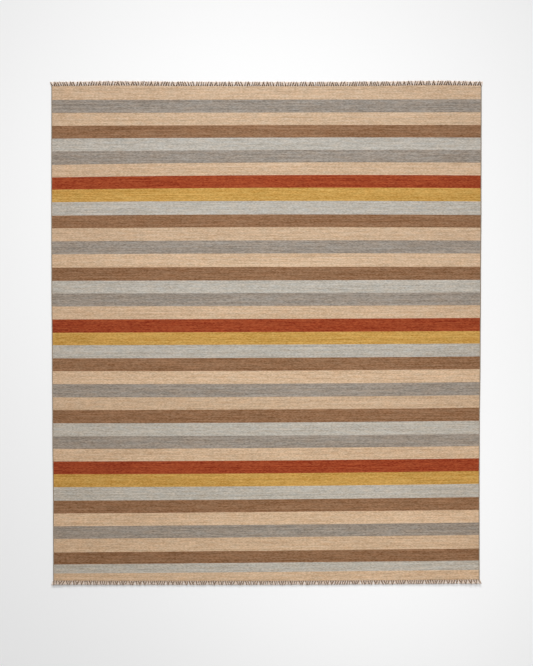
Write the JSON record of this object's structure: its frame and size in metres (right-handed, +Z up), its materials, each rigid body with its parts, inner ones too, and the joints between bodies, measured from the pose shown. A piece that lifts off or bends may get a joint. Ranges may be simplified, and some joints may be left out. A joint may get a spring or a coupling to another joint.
{
  "type": "kilim rug",
  "caption": "Rectangular flat-woven rug with stripes across its width, overcast side cords and a short knotted fringe on both ends, lying flat.",
  "frame": {"origin": "on the floor, under the middle of the rug's bounding box", "axes": "+X across the rug along its stripes, +Y along its length to the far fringe, +Z up out of its face"},
  "size_m": [2.5082, 2.931, 0.0062],
  "materials": {
    "weave": "matt weft-faced wool flatweave in stripes of beige, grey, brown, pale grey, rust and mustard, with fine streaks in each stripe",
    "overcast": "matt taupe wool yarn wound closely over the side warps",
    "warp": "matt marled cream and brown warp yarn, knotted and cut short"
  },
  "bodies": {
    "root": {"field": "weave", "selvedge_left": "overcast", "selvedge_right": "overcast", "fringe_far": "warp", "fringe_near": "warp"}
  },
  "joints": []
}
